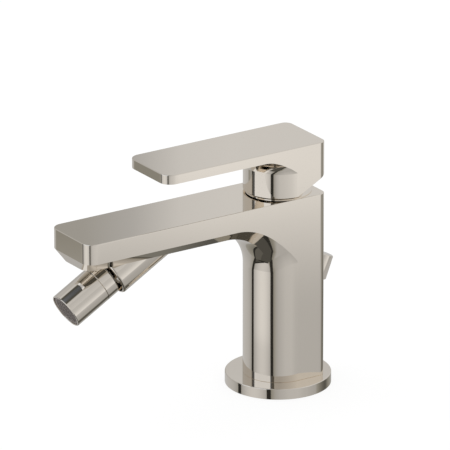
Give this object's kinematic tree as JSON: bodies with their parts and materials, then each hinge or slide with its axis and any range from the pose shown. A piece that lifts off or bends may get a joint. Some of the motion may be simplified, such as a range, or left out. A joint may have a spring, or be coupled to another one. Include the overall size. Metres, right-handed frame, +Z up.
{
  "type": "bidet mixer",
  "caption": "Single-lever deck mixer for a bidet: D-shaped column on a round flange, flat slab spout with a ball-jointed aerator nozzle, slab lever and a slanted pop-up knob.",
  "frame": {"origin": "middle of the flange's underside, on the column's axis, level with the deck that it stands on", "axes": "+Z up along the column; the spout points along -Y, so +Y is the rear and +X is on the right of someone who faces the mixer"},
  "size_m": [0.058, 0.1755, 0.1403],
  "materials": {
    "polished_nickel": "polished",
    "turned_brass": "machined",
    "steel_hardware": "machined",
    "alumina_ceramic": "lapped",
    "black_plastic": "moulded",
    "white_plastic": "moulded",
    "grey_aerator": "moulded",
    "seal_rubber": "matte"
  },
  "bodies": {
    "mixer": {"mixer_body": "polished_nickel", "base_flange": "polished_nickel", "base_seal": "seal_rubber", "cartridge_base": "black_plastic", "inlet_seals": "seal_rubber", "disc_gasket": "seal_rubber", "fixed_disc": "alumina_ceramic", "cartridge_housing": "white_plastic", "housing_o_ring": "seal_rubber", "cartridge_nut": "turned_brass", "cover_dome": "polished_nickel", "ball_connector": "polished_nickel", "connector_washer": "seal_rubber", "rod_guide_bush": "black_plastic"},
    "turner": {"stem_carrier": "white_plastic", "stem_pin": "steel_hardware"},
    "lever": {"lever_handle": "polished_nickel", "lever_stem": "turned_brass", "lever_grub_screw": "steel_hardware", "screw_cap": "polished_nickel"},
    "slider": {"moving_disc": "alumina_ceramic", "disc_driver": "white_plastic"},
    "upper_seat": {"upper_ball_seat": "white_plastic"},
    "lower_seat": {"lower_ball_seat": "white_plastic"},
    "nozzle": {"socket_ring": "polished_nickel", "seat_seal": "seal_rubber", "nozzle_sleeve": "polished_nickel", "aerator_washer": "seal_rubber", "aerator_screen": "steel_hardware", "aerator_insert": "grey_aerator"},
    "pop_up": {"lift_knob": "polished_nickel", "lift_rod": "polished_nickel"}
  },
  "joints": [
    {"name": "handle_turn", "type": "hinge", "parent": "mixer", "child": "turner", "pos_m": [0, 0, 0.1088], "axis": [0, 0, 1], "range_deg": [-45, 45]},
    {"name": "handle_lift", "type": "hinge", "parent": "turner", "child": "lever", "pos_m": [0, 0, 0.1088], "axis": [-1, 0, 0], "range_deg": [0, 25]},
    {"name": "disc_slide", "type": "slide", "parent": "turner", "child": "slider", "axis": [0, -1, 0], "range_m": [0, 0.0035]},
    {"name": "nozzle_pitch", "type": "hinge", "parent": "mixer", "child": "upper_seat", "pos_m": [0, -0.1135, 0.0815], "axis": [1, 0, 0], "range_deg": [-15, 15]},
    {"name": "nozzle_swing", "type": "hinge", "parent": "upper_seat", "child": "lower_seat", "pos_m": [0, -0.1135, 0.0815], "axis": [0, -0.4939, 0.8695], "range_deg": [-15, 15]},
    {"name": "nozzle_spin", "type": "hinge", "parent": "lower_seat", "child": "nozzle", "pos_m": [0, -0.1135, 0.0815], "axis": [0, -0.8695, -0.4939], "continuous": true},
    {"name": "rod_slide", "type": "slide", "parent": "mixer", "child": "pop_up", "axis": [0, 0.3665, 0.9304], "range_m": [0, 0.02]}
  ],
  "couplings": [
    {"joint": "disc_slide", "follows": "handle_lift", "m_per_rad": 0.007942}
  ]
}
